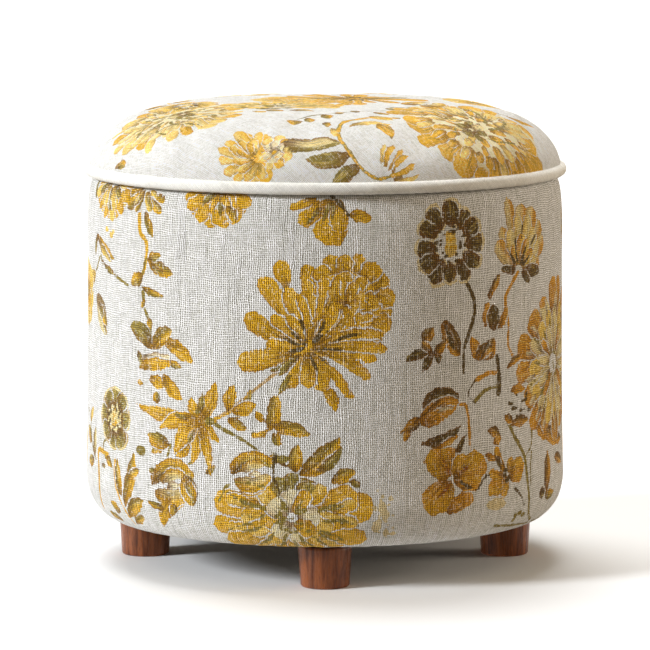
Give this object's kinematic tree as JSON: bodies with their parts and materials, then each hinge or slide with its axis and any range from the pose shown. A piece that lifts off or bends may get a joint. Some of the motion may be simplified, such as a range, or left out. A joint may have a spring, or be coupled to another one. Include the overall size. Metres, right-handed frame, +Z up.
{
  "type": "storage tuffet",
  "caption": "Round upholstered storage tuffet: a padded, cloth-covered drum on four short turned wooden feet, with a crowned, piped cushion lid that lifts off.",
  "frame": {"origin": "on the floor, at the centre of the four feet", "axes": "+Z up, the axis of the drum; -Y towards the front foot, which faces the viewer in the picture"},
  "size_m": [0.4264, 0.4264, 0.4058],
  "materials": {
    "drum_linen": "slubby off-white linen with a mustard and olive floral print",
    "lid_linen": "off-white linen with a mustard and olive floral print",
    "piping_linen": "off-white linen cut on the bias",
    "wadding": "white wadding",
    "foam": "open-cell foam",
    "plywood": "sanded plywood",
    "lining": "plain lining cloth",
    "dust_cloth": "black non-woven cloth",
    "walnut": "satin lacquered walnut",
    "steel": "zinc plated"
  },
  "bodies": {
    "drum": {"base_board": "plywood", "drum_wall": "plywood", "dust_cover": "dust_cloth", "foot_back": "walnut", "foot_bolt_back": "steel", "foot_bolt_front": "steel", "foot_bolt_left": "steel", "foot_bolt_right": "steel", "foot_front": "walnut", "foot_left": "walnut", "foot_right": "walnut", "lining_floor": "lining", "lining_wall": "lining", "side_cover": "drum_linen", "side_foam": "foam", "tee_nut_back": "steel", "tee_nut_front": "steel", "tee_nut_left": "steel", "tee_nut_right": "steel"},
    "lid": {"lid_board": "plywood", "lid_cover": "lid_linen", "lid_foam": "foam", "lid_liner": "lining", "lid_screw_1": "steel", "lid_screw_2": "steel", "lid_screw_3": "steel", "lid_screw_4": "steel", "lid_screw_5": "steel", "lid_screw_6": "steel", "lid_wadding": "wadding", "locating_disc": "plywood", "piping_cord": "wadding", "piping_sleeve": "piping_linen"}
  },
  "joints": [
    {"name": "lid_lift", "type": "slide", "parent": "drum", "child": "lid", "axis": [0, 0, 1], "range_m": [0, 0.25]}
  ]
}
